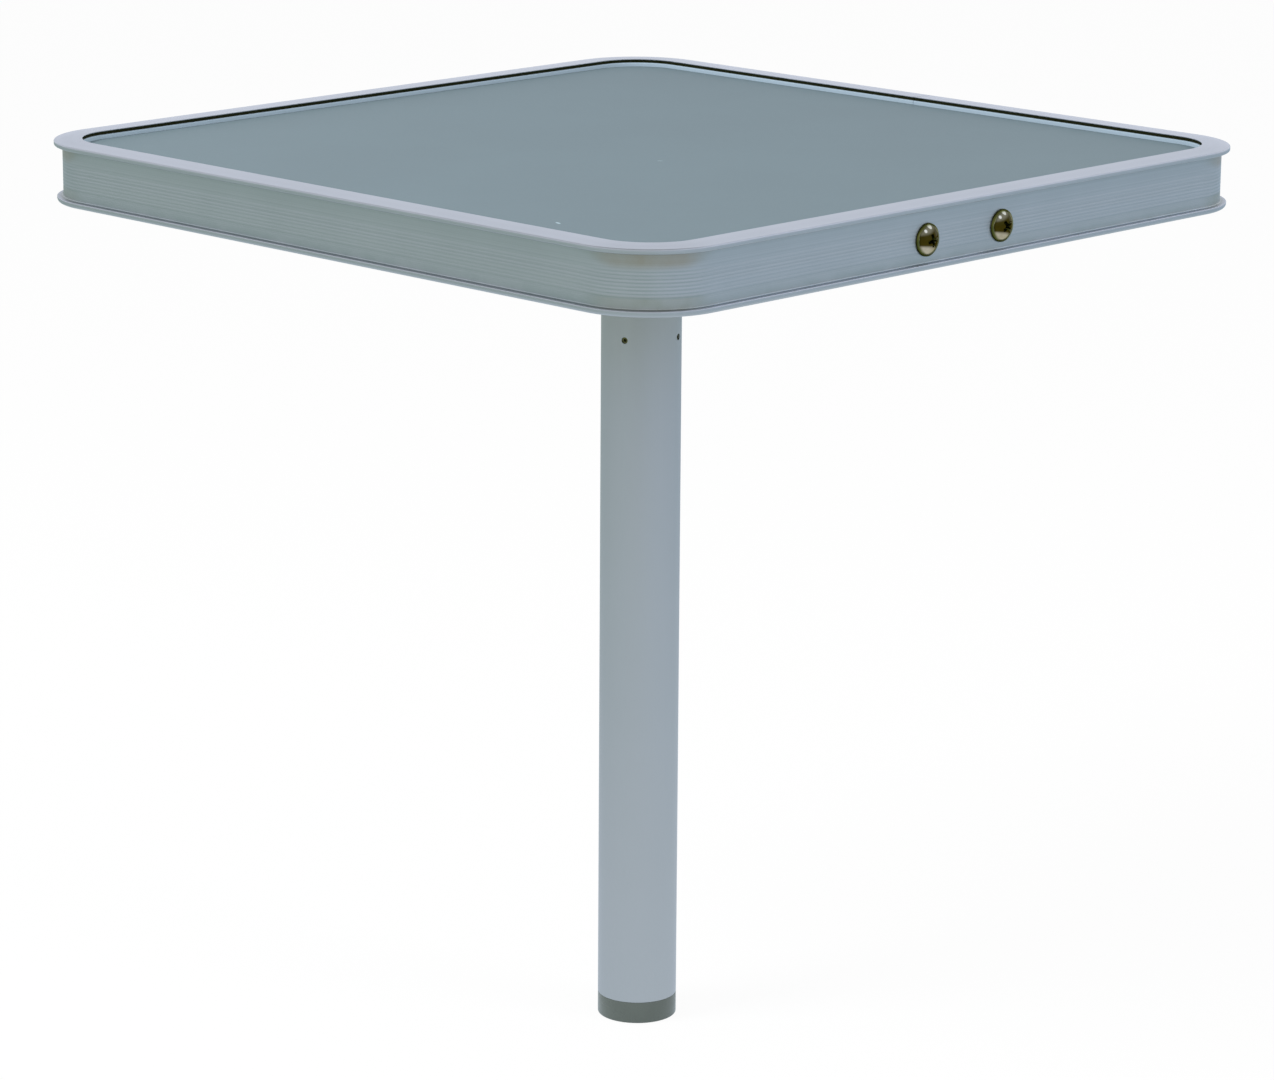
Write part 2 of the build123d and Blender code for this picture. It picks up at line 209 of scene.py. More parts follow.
def domed(radius, rim, top, steps):
    # points down the side of a low dome, from its middle to its rim
    sphere = (radius ** 2 + (top - rim) ** 2) / (2 * (top - rim))
    angles = [asin(radius / sphere) * n / steps for n in range(steps + 1)]
    return [(sphere * sin(angle), top - sphere + sphere * cos(angle)) for angle in angles]


def crossScrew(name, settings, length):
    # head above Z = 0, threaded shank below
    head, shank, soft = settings["head"], settings["shank"], settings["soft"]
    radius, rim = head["radius"], head["rim"]
    profile = domed(radius - soft / 2, rim, head["height"], 10)
    profile += [(radius - soft * 0.15, rim - soft * 0.35), (radius, rim - soft),
                (radius - soft * 0.2, soft * 0.3), (radius - soft, 0)]
    core = shank["radius"] - shank["thread"]
    profile += [(shank["radius"], 0), (shank["radius"], -shank["plain"]), (core, -shank["plain"] - 0.4),
                (core, 0.6 - length), (core * 0.7, -length), (0, -length)]
    screw = turned(name, profile, 48)
    cutAway(screw, crossBits(settings["recess"], head["height"]))
    ridge = threadRidge(name + "Ridge", shank["radius"], shank["thread"], shank["pitch"],
                        0.7 - length, -shank["plain"])
    return joined([screw, ridge])


replacing = {}


def handOver(piece, node):
    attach(piece, bodies[node])
    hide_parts(node)
    replacing.setdefault(node, []).append(piece)


def setCopies(source, node, placings):
    # each placing is a matrix; every copy keeps its own mesh, with its place in it
    for number, placing in enumerate(placings):
        copy = source.copy()
        copy.data = source.data.copy()
        copy.name = "%s%d" % (source.name, number + 1)
        bpy.context.collection.objects.link(copy)
        selectOnly(copy)
        copy.matrix_world = placing
        bpy.ops.object.transform_apply(location=True, rotation=True, scale=True)
        handOver(copy, node)
    bpy.data.objects.remove(source)


def moved(x, y, z):
    return Matrix.Translation(Vector((x, y, z)) * mm)


def spun(angle, axis):
    return Matrix.Rotation(radians(angle), 4, axis)


# the body that each new piece rides on
bodies = {"edge_frame": "top", "panel_bead": "top", "panel_gasket": "top", "side_screws": "top",
          "splice_rivets": "top", "plate_screws": "top", "hub_screws": "top", "leg_hub": "top",
          "leg_stud": "leg", "leg_tube": "leg", "foot_cap": "leg"}

# where the fasteners sit: X of the two rails, Y of the rivets and of the plate's screws, and heights
fasteners = {"rails": (-30.5, 20.5), "sideHeight": 423.3,
             "rivets": (-34.0, -14.0, 14.0, 34.0), "rivetHeight": 421.8,
             "plateRows": (-39.5, 39.5), "plateBase": 412.8, "hubFlange": 407.8, "hubCircle": 31.5,
             "hubTurns": (0, 90, 180, 270)}


def onHubCircle(turn, height):
    return (fasteners["hubCircle"] * cos(radians(turn)), fasteners["hubCircle"] * sin(radians(turn)), height)


# the extruded edge frame, bent round the table top
ring = {"halfSide": 210.0, "corner": 40.0, "seam": 0.3, "steps": 32}
edge = {"top": 440.0, "rise": 0.5, "flange": 13.5, "flangeTip": 0.3, "slope": 2.5, "flangeThick": 1.2,
        "lipThick": 2.4, "web": 4.0, "webInner": 5.8, "ledge": 15.8, "ledgeTop": 432.5, "ledgeBase": 431.0,
        "base": 410.0, "lowerTop": 412.6, "lowerLip": 412.8, "lowerEnd": 12.8, "lowerTip": 1.0,
        "flutes": 8, "flutePitch": 1.59, "fluteWidth": 1.1, "fluteDepth": 0.035, "fluteTop": 428.9,
        "upperNose": (0.6, 0.8), "lowerNose": (1.8, 0.4), "root": 0.6, "ledgeRound": 0.5, "inner": 0.6,
        "screwHoles": 3.25, "rivetHoles": 2.0}
lipTop = edge["top"] - edge["rise"]
lipBase = lipTop - edge["lipThick"]
flangeBase = edge["top"] - edge["flangeThick"]
fluteLow = edge["fluteTop"] - edge["flutePitch"] * (edge["flutes"] - 1)
webFace = ring["halfSide"] - edge["web"]
corners = [(0, lipTop, edge["upperNose"][0]), (edge["flange"], edge["top"], 0),
           (edge["flange"], edge["top"] - edge["flangeTip"], 0), (edge["flange"] - edge["slope"], flangeBase, 0),
           (edge["webInner"], flangeBase, 0), (edge["webInner"], edge["ledgeTop"], 0),
           (edge["ledge"], edge["ledgeTop"], edge["ledgeRound"]),
           (edge["ledge"], edge["ledgeBase"], edge["ledgeRound"]),
           (edge["webInner"], edge["ledgeBase"], edge["inner"]), (edge["webInner"], edge["lowerTop"], edge["inner"]),
           (edge["lowerEnd"], edge["lowerTop"], edge["inner"]), (edge["lowerEnd"], edge["base"], edge["inner"]),
           (edge["lowerTip"], edge["base"], edge["lowerNose"][0]),
           (edge["lowerTip"], edge["lowerLip"], edge["lowerNose"][1]), (edge["web"], edge["lowerLip"], edge["root"])]
for number in range(edge["flutes"]):
    middle = fluteLow + edge["flutePitch"] * number
    for share, deep in ((-0.5, 0.0), (-0.25, 0.7), (0.0, 1.0), (0.25, 0.7), (0.5, 0.0)):
        corners.append((edge["web"] + edge["fluteDepth"] * deep, middle + edge["fluteWidth"] * share, 0))
corners += [(edge["web"], lipBase, edge["root"]), (0, lipBase, edge["upperNose"][1])]
edgeFrame = bentRound("edgeFrame", corners, ring)
cutAway(edgeFrame, [drillBit(edge["screwHoles"], 440, (x, 0, fasteners["sideHeight"]), (90, 0, 0))
                    for x in fasteners["rails"]]
        + [drillBit(edge["rivetHoles"], 6, (webFace - 1, y, fasteners["rivetHeight"]), (0, 90, 0))
           for y in fasteners["rivets"]])
handOver(edgeFrame, "edge_frame")
print("edge frame is bent round")

# rubber strip under the flange, and the plastic bead below it that holds the panel down
strip = {"back": 5.8, "low": 432.5, "top": 438.8, "slopeFrom": 11.0, "inner": 13.0, "tipTop": 439.52,
         "base": 438.1, "outer": 6.3, "round": 0.15}
corners = [(strip["back"], strip["low"], 0), (strip["back"], strip["top"], 0), (strip["slopeFrom"], strip["top"], 0),
           (strip["inner"], strip["tipTop"], 0), (strip["inner"], strip["base"], strip["round"]),
           (strip["outer"], strip["base"], 0), (strip["outer"], strip["low"], 0)]
rubber = bentRound("rubberStrip", corners, ring)
handOver(rubber, "panel_gasket")
beadShape = {"outer": 6.3, "inner": 13.9, "top": 438.1, "base": 435.5, "round": 0.5}
corners = [(beadShape["outer"], beadShape["base"], 0), (beadShape["outer"], beadShape["top"], 0),
           (beadShape["inner"], beadShape["top"], beadShape["round"]), (beadShape["inner"], beadShape["base"], 0)]
bead = bentRound("beadStrip", corners, ring)
handOver(bead, "panel_bead")
print("rubber and bead are in")

# cross-recess screws in the -Y and +Y sides, each stopped at a turn of its own
sideScrew = {"head": {"radius": 7.5, "rim": 0.95, "height": 4.0}, "soft": 0.6, "length": 20.0,
             "shank": {"radius": 3.0, "thread": 0.6, "pitch": 1.0, "plain": 2.5},
             "recess": {"span": 9.6, "width": 2.4, "depth": 2.7, "taper": 0.4},
             "turns": {-1: (12, 38), 1: (71, 25)}}
screw = crossScrew("sideScrew", sideScrew, sideScrew["length"])
setCopies(screw, "side_screws", [moved(x, webFace * side, fasteners["sideHeight"]) @ spun(-90 * side, "X")
                                 @ spun(turn, "Z") for side, turns in sideScrew["turns"].items()
                                 for x, turn in zip(fasteners["rails"], turns)])

# smaller ones under the top, through the plate and through the hub's flange
smallScrew = {"head": {"radius": 4.6, "rim": 1.1, "height": 3.0}, "soft": 0.5,
              "plateLength": 10.0, "hubLength": 8.0,
              "shank": {"radius": 2.5, "thread": 0.5, "pitch": 0.8, "plain": 1.0},
              "recess": {"span": 5.0, "width": 1.2, "depth": 1.8, "taper": 0.4}}
screw = crossScrew("plateScrew", smallScrew, smallScrew["plateLength"])
setCopies(screw, "plate_screws", [moved(x, y, fasteners["plateBase"]) @ spun(180, "X") @ spun(3 * x + y, "Z")
                                  for x in fasteners["rails"] for y in fasteners["plateRows"]])
screw = crossScrew("hubScrew", smallScrew, smallScrew["hubLength"])
setCopies(screw, "hub_screws", [moved(*onHubCircle(a, fasteners["hubFlange"])) @ spun(180, "X")
                                @ spun(a * 1.7 + 20, "Z") for a in fasteners["hubTurns"]])
print("screws are in")

# rivets in the splice, open in the middle where the pin broke off
rivet = {"radius": 3.5, "rim": 0.3, "height": 1.2, "body": 1.98, "grip": 3.8, "tail": 3.0, "tailHeight": 1.5,
         "hole": 0.95, "sunk": 0.5}
grip, tail, tailEnd = rivet["grip"], rivet["tail"], rivet["grip"] + rivet["tailHeight"]
profile = [(0, rivet["sunk"]), (rivet["hole"] * 0.5, rivet["sunk"] + 0.08), (rivet["hole"], rivet["sunk"])]
profile += [(r, h) for r, h in domed(rivet["radius"] - 0.1, rivet["rim"], rivet["height"], 9)
            if r > rivet["hole"] + 0.2]
profile += [(rivet["radius"], rivet["rim"] - 0.1), (rivet["radius"] - 0.1, 0), (rivet["body"], 0),
            (rivet["body"], -grip), (tail - 0.2, -grip), (tail, -grip - 0.3), (tail - 0.1, -grip - 1.0),
            (tail * 0.6, -tailEnd), (0, -tailEnd)]
pin = turned("spliceRivet", profile, 40)
setCopies(pin, "splice_rivets", [moved(webFace, y, fasteners["rivetHeight"]) @ spun(90, "Y") @ spun(y, "Z")
                                 for y in fasteners["rivets"]])
print("rivets are in")

# leg tube, with the holes of the four set screws
leg = {"radius": 19.5, "bore": 18.0, "base": 10.8, "top": 393.3, "round": 0.25,
       "holes": 1.6, "holeHeight": 345.9, "holeTurn": 20.0}
profile, rounded = splitRounds([(leg["bore"], leg["base"], 0), (leg["radius"], leg["base"], leg["round"]),
                                (leg["radius"], leg["top"], leg["round"]), (leg["bore"], leg["top"], 0)])
tube = turned("legTube", profile, 96, rounded)
cutAway(tube, [drillBit(leg["holes"], 90, (0, 0, leg["holeHeight"]), (0, 90, leg["holeTurn"] + turn))
               for turn in (0, 90)])
handOver(tube, "leg_tube")

# foot cap: flush with the tube below, with a ribbed spigot inside it
foot = {"spigot": 17.4, "ribs": 17.9, "ribHeights": (16.8, 22.8, 28.8), "ribHalf": 0.8, "crestHalf": 0.5,
        "top": 34.8, "bore": 15.0, "floor": 4.0}
outer, seam, spigot = leg["radius"], leg["base"], foot["spigot"]
profile = [(0, 0), (outer - 0.5, 0), (outer - 0.2, 0.12), (outer - 0.04, 0.35), (outer, 0.7),
           (outer, seam - 0.4), (outer - 0.1, seam - 0.1), (outer - 0.3, seam), (spigot, seam)]
for middle in foot["ribHeights"]:
    profile += [(spigot, middle - foot["ribHalf"]), (foot["ribs"], middle - foot["crestHalf"]),
                (foot["ribs"], middle + foot["crestHalf"]), (spigot, middle + foot["ribHalf"])]
profile += [(spigot, foot["top"] - 0.4), (spigot - 0.4, foot["top"]), (foot["bore"], foot["top"]),
            (foot["bore"], foot["floor"]), (0, foot["floor"])]
cap = turned("footCap", profile, 96)
handOver(cap, "foot_cap")

# threaded stud in the top of the leg, cross-drilled for its pin
stud = {"radius": 6.0, "thread": 0.95, "pitch": 1.75, "low": 367.3, "neck": 393.3, "tip": 408.8,
        "pin": 1.5, "pinHeight": 379.3}
radius, core, neck, tip = stud["radius"], stud["radius"] - stud["thread"], stud["neck"], stud["tip"]
profile = [(0, stud["low"]), (radius - 0.6, stud["low"]), (radius, stud["low"] + 0.6), (radius, neck - 0.4),
           (core, neck + 0.5), (core, tip - 0.9), (core - 0.9, tip), (0, tip)]
threadedStud = turned("threadedStud", profile, 48)
cutAway(threadedStud, [drillBit(stud["pin"], 30, (0, 0, stud["pinHeight"]), (0, 90, 0))])
ridge = threadRidge("studRidge", radius, stud["thread"], stud["pitch"], neck + 0.4, tip - 0.5)
handOver(joined([threadedStud, ridge]), "leg_stud")
print("leg and foot are in")

# cast hub that the stud screws into
hub = {"bush": 9.5, "bushFlange": 13.0, "bushTop": 410.3, "top": fasteners["plateBase"], "flange": 37.5,
       "flangeBase": fasteners["hubFlange"], "body": 26.5, "mouth": 23.5, "base": 382.8, "cup": 19.8,
       "cupFloor": 394.8, "holes": 2.75, "flangeRounds": (0.6, 0.9), "neckRound": 1.6, "mouthRounds": (1.0, 0.8)}
corners = [(hub["bush"], hub["bushTop"], 0), (hub["bushFlange"], hub["bushTop"], 0),
           (hub["bushFlange"], hub["top"], 0), (hub["flange"], hub["top"], hub["flangeRounds"][0]),
           (hub["flange"], hub["flangeBase"], hub["flangeRounds"][1]),
           (hub["body"], hub["flangeBase"], hub["neckRound"]), (hub["mouth"], hub["base"], hub["mouthRounds"][0]),
           (hub["cup"], hub["base"], hub["mouthRounds"][1]), (hub["cup"], hub["cupFloor"], 0),
           (hub["bush"], hub["cupFloor"], 0)]
profile, rounded = splitRounds(corners)
castHub = turned("castHub", profile, 96, rounded)
cutAway(castHub, [drillBit(hub["holes"], 20, onHubCircle(a, hub["top"] - 2.5), (0, 0, 0))
                  for a in fasteners["hubTurns"]])
handOver(castHub, "leg_hub")
print("hub is in")


# helpers for shader nodes
def put(tree, kind, inputs=None, **settings):
    item = tree.nodes.new("ShaderNode" + kind)
    for name, value in settings.items():
        setattr(item, name, value)
    for name, value in (inputs or {}).items():
        if isinstance(value, bpy.types.NodeSocket):
            tree.links.new(value, item.inputs[name])
        else:
            item.inputs[name].default_value = value
    return item


def maths(tree, operation, *values):
    return put(tree, "Math", dict(enumerate(values)), operation=operation).outputs[0]


def vectors(tree, operation, *values):
    return put(tree, "VectorMath", dict(enumerate(values)), operation=operation).outputs[0]


def scaled(tree, vector, factor):
    return put(tree, "VectorMath", {0: vector, "Scale": factor}, operation="SCALE").outputs[0]


def measured(tree, operation, *values):
    return put(tree, "VectorMath", dict(enumerate(values)), operation=operation).outputs["Value"]


def ramp(tree, value, low, high, fromValue=0.0, toValue=1.0):
    return put(tree, "MapRange", {0: value, 1: low, 2: high, 3: fromValue, 4: toValue},
               interpolation_type="SMOOTHSTEP").outputs[0]


def between(tree, value, rising, falling):
    return maths(tree, "MULTIPLY", ramp(tree, value, *rising), ramp(tree, value, *falling))


def centred(tree, value):
    return maths(tree, "SUBTRACT", value, 0.5)


def mixColour(tree, factor, first, second):
    return put(tree, "Mix", {0: factor, 6: first, 7: second}, data_type="RGBA").outputs[2]


def noise(tree, vector, scale, detail=2.0, roughness=0.5):
    settings = {"Vector": vector, "Scale": scale, "Detail": detail, "Roughness": roughness}
    return put(tree, "TexNoise", settings).outputs[0]


def onPiece(tree):
    return put(tree, "TexCoord").outputs["Object"]


def rgb(values):
    return (*values, 1.0)


def startGroup(name, wanted, given):
    group = bpy.data.node_groups.new(name, "ShaderNodeTree")
    for label, value in wanted:
        group.interface.new_socket(label, in_out="INPUT", socket_type="NodeSocketFloat").default_value = value
    for label in given:
        group.interface.new_socket(label, in_out="OUTPUT", socket_type="NodeSocketFloat")
    return group, group.nodes.new("NodeGroupInput").outputs, group.nodes.new("NodeGroupOutput").inputs


def place(tree, group, **inputs):
    item = put(tree, "Group", node_tree=group)
    for name, value in inputs.items():
        label = name[0].upper() + name[1:]
        if isinstance(value, bpy.types.NodeSocket):
            tree.links.new(value, item.inputs[label])
        else:
            item.inputs[label].default_value = value
    return item.outputs


# distance in from the rounded square edge, height, and nearness to a bend, all in millimetres
rimGroup, taken, given = startGroup("rimDistance", [], ["In", "Height", "Corner"])
x, y, z = put(rimGroup, "SeparateXYZ", {0: scaled(rimGroup, onPiece(rimGroup), 1 / mm)}).outputs
straight = ring["halfSide"] - ring["corner"]
overX = maths(rimGroup, "SUBTRACT", maths(rimGroup, "ABSOLUTE", x), straight)
overY = maths(rimGroup, "SUBTRACT", maths(rimGroup, "ABSOLUTE", y), straight)
outX = maths(rimGroup, "MAXIMUM", overX, 0.0)
outY = maths(rimGroup, "MAXIMUM", overY, 0.0)
squares = maths(rimGroup, "ADD", maths(rimGroup, "MULTIPLY", outX, outX), maths(rimGroup, "MULTIPLY", outY, outY))
inside = maths(rimGroup, "MINIMUM", maths(rimGroup, "MAXIMUM", overX, overY), 0.0)
reach = maths(rimGroup, "ADD", maths(rimGroup, "SQRT", squares), inside)
rimGroup.links.new(maths(rimGroup, "SUBTRACT", ring["corner"], reach), given["In"])
rimGroup.links.new(z, given["Height"])
rimGroup.links.new(maths(rimGroup, "MINIMUM", overX, overY), given["Corner"])

# lines left by the die, from two coordinates in millimetres that are the same all along a line
dieNoise = {"drift": 0.6, "bandScale": 0.13}
linesGroup, taken, given = startGroup("dieLines", [("Across", 0.0), ("Height", 0.0), ("Pitch", 0.6)],
                                      ["Lines", "Bands"])
section = put(linesGroup, "CombineXYZ", {0: maths(linesGroup, "DIVIDE", taken["Across"], taken["Pitch"]),
                                         1: maths(linesGroup, "DIVIDE", taken["Height"], taken["Pitch"])}).outputs[0]
lineSpot = vectors(linesGroup, "ADD", section, scaled(linesGroup, onPiece(linesGroup), dieNoise["drift"]))
bandSpot = scaled(linesGroup, lineSpot, dieNoise["bandScale"])
linesGroup.links.new(noise(linesGroup, lineSpot, 1.0, 3.0, 0.6), given["Lines"])
linesGroup.links.new(noise(linesGroup, bandSpot, 1.0, 1.0), given["Bands"])

# fine grain of a surface, and broad uneven patches
grainGroup, taken, given = startGroup("surfaceGrain", [("Size", 0.5), ("Patch", 60.0)], ["Grain", "Patches"])
spot = onPiece(grainGroup)
for wanted, result, roughness in (("Size", "Grain", 0.7), ("Patch", "Patches", 0.6)):
    scale = maths(grainGroup, "DIVIDE", 1 / mm, taken[wanted])
    grainGroup.links.new(noise(grainGroup, spot, scale, 3.0, roughness), given[result])

# outside edges, where a finish is rubbed bright or pale
wearGroup, taken, given = startGroup("edgeWear", [("Radius", 0.5), ("Breaks", 3.0)], ["Wear"])
softRadius = maths(wearGroup, "MULTIPLY", taken["Radius"], mm)
softNormal = put(wearGroup, "Bevel", {"Radius": softRadius}, samples=4).outputs[0]
ownNormal = put(wearGroup, "NewGeometry").outputs["Normal"]
sharp = ramp(wearGroup, measured(wearGroup, "DOT_PRODUCT", softNormal, ownNormal), 0.98, 0.80)
breaks = noise(wearGroup, onPiece(wearGroup), maths(wearGroup, "DIVIDE", 1 / mm, taken["Breaks"]), 3.0)
wearGroup.links.new(maths(wearGroup, "MULTIPLY", sharp, ramp(wearGroup, breaks, 0.35, 0.65)), given["Wear"])
print("shader groups are ready")


def newFinish(name):
    material = bpy.data.materials.new(name)
    material.use_nodes = True
    tree = material.node_tree
    return material, tree, tree.nodes["Principled BSDF"]


def finishMetal(tree, shader, settings, colour, roughness, relief):
    # the last links of a metal; bump is (strength, distance in millimetres)
    strength, distance = settings["bump"]
    bump = put(tree, "Bump", {"Strength": strength, "Distance": distance * mm, "Height": relief}).outputs[0]
    tree.links.new(colour, shader.inputs["Base Color"])
    tree.links.new(roughness, shader.inputs["Roughness"])
    tree.links.new(bump, shader.inputs["Normal"])
    shader.inputs["Metallic"].default_value = 1.0
    shader.inputs["Specular Tint"].default_value = rgb(settings["tint"])


# anodised aluminium of the edge frame, with patchy painted shade on its web under the upper lip and above the lower
# one: heights are where the painted shade starts and where it is full, reach is how much further it comes round a
# bend, and bendShare is added to its share there
frameFinish = {"colour": (0.430, 0.447, 0.455), "dull": (0.370, 0.393, 0.397), "worn": (0.54, 0.57, 0.60),
               "wornShare": 0.35, "tint": (0.96, 0.97, 1.0), "pitch": 0.55, "grain": 0.35, "patch": 45.0,
               "roughness": 0.40, "roughBands": 0.08, "bendRoughness": 0.07, "bump": (0.06, 0.5), "grainBump": 0.05,
               "rubbedTop": (439.3, 438.6, 0.25, 1.0), "bend": (-8.0, 14.0),
               "webIn": ((1.6, 3.4), (5.4, 4.6)), "webHeight": ((411.0, 412.0), (438.6, 437.8)),
               "uneven": (0.25, 0.6, 0.6, 1.0), "spotSize": 14.0, "spots": (0.30, 0.66, 0.65, 1.0),
               "film": (0.23, 0.29, 0.27)}
# each a band of painted shade on the web near a lip
paintedShades = [{"heights": (419.4, 416.8), "reach": 0.0, "share": 0.26, "bendShare": 0.42,
          "bendColour": (0.26, 0.28, 0.22)},
         {"heights": (433.0, 437.6), "reach": 4.2, "share": 0.17, "bendShare": 0.45,
          "bendColour": (0.30, 0.25, 0.165)},
         {"heights": (417.0, 413.4), "reach": 0.0, "share": 0.42, "bendShare": -0.20,
          "bendColour": (0.23, 0.28, 0.23)}]
# painted shade in the flute grooves, with more of it in the bends
fluteShade = {"share": 0.025, "bendShare": 0.42, "spread": (0.55, 0.15), "ends": (0.9, 0.5)}
anodisedFrame, tree, shader = newFinish("anodisedFrame")
rim = place(tree, rimGroup)
lines = place(tree, linesGroup, across=rim["In"], height=rim["Height"], pitch=frameFinish["pitch"])
grain = place(tree, grainGroup, size=frameFinish["grain"], patch=frameFinish["patch"])
wear = place(tree, wearGroup, radius=0.4, breaks=4.0)
# the die lines show on the upright faces and fade out on the rubbed top
upright = ramp(tree, rim["Height"], *frameFinish["rubbedTop"])
lineTone = maths(tree, "ADD", 0.5, maths(tree, "MULTIPLY", centred(tree, lines["Lines"]), upright))
tone = maths(tree, "ADD", ramp(tree, lineTone, 0.25, 0.75, 0.0, 0.7),
             ramp(tree, grain["Patches"], 0.3, 0.7, 0.0, 0.3))
colour = mixColour(tree, tone, rgb(frameFinish["dull"]), rgb(frameFinish["colour"]))
rubbed = maths(tree, "MULTIPLY", wear["Wear"], frameFinish["wornShare"])
colour = mixColour(tree, rubbed, colour, rgb(frameFinish["worn"]))
# three patches of painted shade: above the lower lip, under the upper one, and in the root of the lower lip
bend = ramp(tree, rim["Corner"], *frameFinish["bend"])
onWeb = maths(tree, "MULTIPLY", between(tree, rim["In"], *frameFinish["webIn"]),
              between(tree, rim["Height"], *frameFinish["webHeight"]))
spots = place(tree, grainGroup, size=frameFinish["grain"], patch=frameFinish["spotSize"])["Patches"]
patchyShade = maths(tree, "MULTIPLY", onWeb, ramp(tree, grain["Patches"], *frameFinish["uneven"]))
patchyShade = maths(tree, "MULTIPLY", patchyShade, ramp(tree, spots, *frameFinish["spots"]))
for zone in paintedShades:
    depth = ramp(tree, maths(tree, "MULTIPLY_ADD", bend, zone["reach"], rim["Height"]), *zone["heights"])
    heavy = maths(tree, "MULTIPLY_ADD", bend, zone["bendShare"], zone["share"])
    film = maths(tree, "MULTIPLY", maths(tree, "MULTIPLY", depth, heavy), patchyShade)
    paintedShadeColour = mixColour(tree, bend, rgb(frameFinish["film"]), rgb(zone["bendColour"]))
    colour = mixColour(tree, film, colour, paintedShadeColour)
# painted shade in the grooves of the flutes, seen in the bends
endStart, endFull = fluteShade["ends"]
fromMiddle = maths(tree, "PINGPONG", maths(tree, "SUBTRACT", rim["Height"], fluteLow), edge["flutePitch"] / 2)
fluted = between(tree, rim["Height"], (fluteLow - endStart, fluteLow - endFull),
                 (edge["fluteTop"] + endStart, edge["fluteTop"] + endFull))
film = maths(tree, "MULTIPLY", ramp(tree, fromMiddle, *fluteShade["spread"]), maths(tree, "MULTIPLY", fluted, patchyShade))
film = maths(tree, "MULTIPLY", film, maths(tree, "MULTIPLY_ADD", bend, fluteShade["bendShare"], fluteShade["share"]))
colour = mixColour(tree, film, colour, rgb(frameFinish["film"]))
bands = centred(tree, lines["Bands"])
rough = maths(tree, "MULTIPLY_ADD", bands, frameFinish["roughBands"], frameFinish["roughness"])
rough = maths(tree, "MULTIPLY_ADD", maths(tree, "MULTIPLY", bend, upright), frameFinish["bendRoughness"], rough)
relief = maths(tree, "ADD", lineTone, maths(tree, "MULTIPLY", grain["Grain"], frameFinish["grainBump"]))
finishMetal(tree, shader, frameFinish, colour, rough, relief)

# the same metal drawn as a tube: fine streaks along it, and painted shade, darker and greenish, near its top under
# the table
tubeFinish = {"colour": (0.442, 0.459, 0.463), "dull": (0.397, 0.417, 0.417), "tint": (0.96, 0.97, 1.0),
              "film": (0.375, 0.385, 0.325), "filmHeights": (0.300, 0.392), "uneven": (0.3, 0.7, 0.35, 0.75),
              "streaks": (1400.0, 1400.0, 6.0), "streakShare": 0.6, "roughness": 0.54, "roughStreaks": 0.12,
              "bump": (0.04, 0.4)}
anodisedTube, tree, shader = newFinish("anodisedTube")
spot = onPiece(tree)
streaks = noise(tree, vectors(tree, "MULTIPLY", spot, tubeFinish["streaks"]), 1.0, 2.0)
grain = place(tree, grainGroup, size=0.5, patch=60.0)
tone = maths(tree, "ADD", maths(tree, "MULTIPLY", streaks, tubeFinish["streakShare"]),
             maths(tree, "MULTIPLY", grain["Patches"], 1 - tubeFinish["streakShare"]))
colour = mixColour(tree, tone, rgb(tubeFinish["dull"]), rgb(tubeFinish["colour"]))
height = put(tree, "SeparateXYZ", {0: spot}).outputs[2]
# painted shade near the top of the leg, under the table
film = maths(tree, "MULTIPLY", ramp(tree, height, *tubeFinish["filmHeights"]),
             ramp(tree, grain["Patches"], *tubeFinish["uneven"]))
colour = mixColour(tree, film, colour, rgb(tubeFinish["film"]))
rough = maths(tree, "MULTIPLY_ADD", centred(tree, streaks), tubeFinish["roughStreaks"], tubeFinish["roughness"])
finishMetal(tree, shader, tubeFinish, colour, rough, streaks)

# nickel on the domed side screws, bright on the dome, with painted shade and a painted dark reflection round its rim
# and painted shade in the recess;
# the dome is part of a sphere, whose centre is this far out from the middle of the table
nickelFinish = {"colour": (0.43, 0.40, 0.30), "cloud": (0.34, 0.31, 0.21), "tarnish": (0.085, 0.088, 0.020),
                "tint": (0.72, 0.70, 0.42), "dullness": 0.36, "dullFrom": (0.7, 1.0), "rim": (5.9, 7.1),
                "uneven": 1.2, "sphere": 10.02, "centre": 199.98, "sunk": (0.06, 0.45), "bump": (0.02, 0.3)}
brightNickel, tree, shader = newFinish("brightNickel")
grain = place(tree, grainGroup, size=0.4, patch=5.0)
x, y, z = put(tree, "SeparateXYZ", {0: scaled(tree, onPiece(tree), 1 / mm)}).outputs
leftRail, rightRail = fasteners["rails"]
fromMiddle = maths(tree, "ABSOLUTE", maths(tree, "SUBTRACT", x, (leftRail + rightRail) / 2))
fromAxis = maths(tree, "SUBTRACT", fromMiddle, (rightRail - leftRail) / 2)
upwards = maths(tree, "SUBTRACT", z, fasteners["sideHeight"])
outwards = maths(tree, "SUBTRACT", maths(tree, "ABSOLUTE", y), nickelFinish["centre"])
radial = measured(tree, "LENGTH", put(tree, "CombineXYZ", {0: fromAxis, 1: upwards}).outputs[0])
fromCentre = measured(tree, "LENGTH", put(tree, "CombineXYZ", {0: fromAxis, 1: upwards, 2: outwards}).outputs[0])
radial = maths(tree, "MULTIPLY_ADD", centred(tree, grain["Patches"]), nickelFinish["uneven"], radial)
# painted darkening: shade and dark reflection round the rim, shade in the recess
film = maths(tree, "MAXIMUM", ramp(tree, radial, *nickelFinish["rim"]),
             ramp(tree, maths(tree, "SUBTRACT", nickelFinish["sphere"], fromCentre), *nickelFinish["sunk"]))
cloudy = ramp(tree, grain["Patches"], 0.3, 0.7)
bright = mixColour(tree, cloudy, rgb(nickelFinish["cloud"]), rgb(nickelFinish["colour"]))
colour = mixColour(tree, film, bright, rgb(nickelFinish["tarnish"]))
rough = ramp(tree, film, *nickelFinish["dullFrom"], 0.0, nickelFinish["dullness"])
finishMetal(tree, shader, nickelFinish, colour, rough, grain["Grain"])


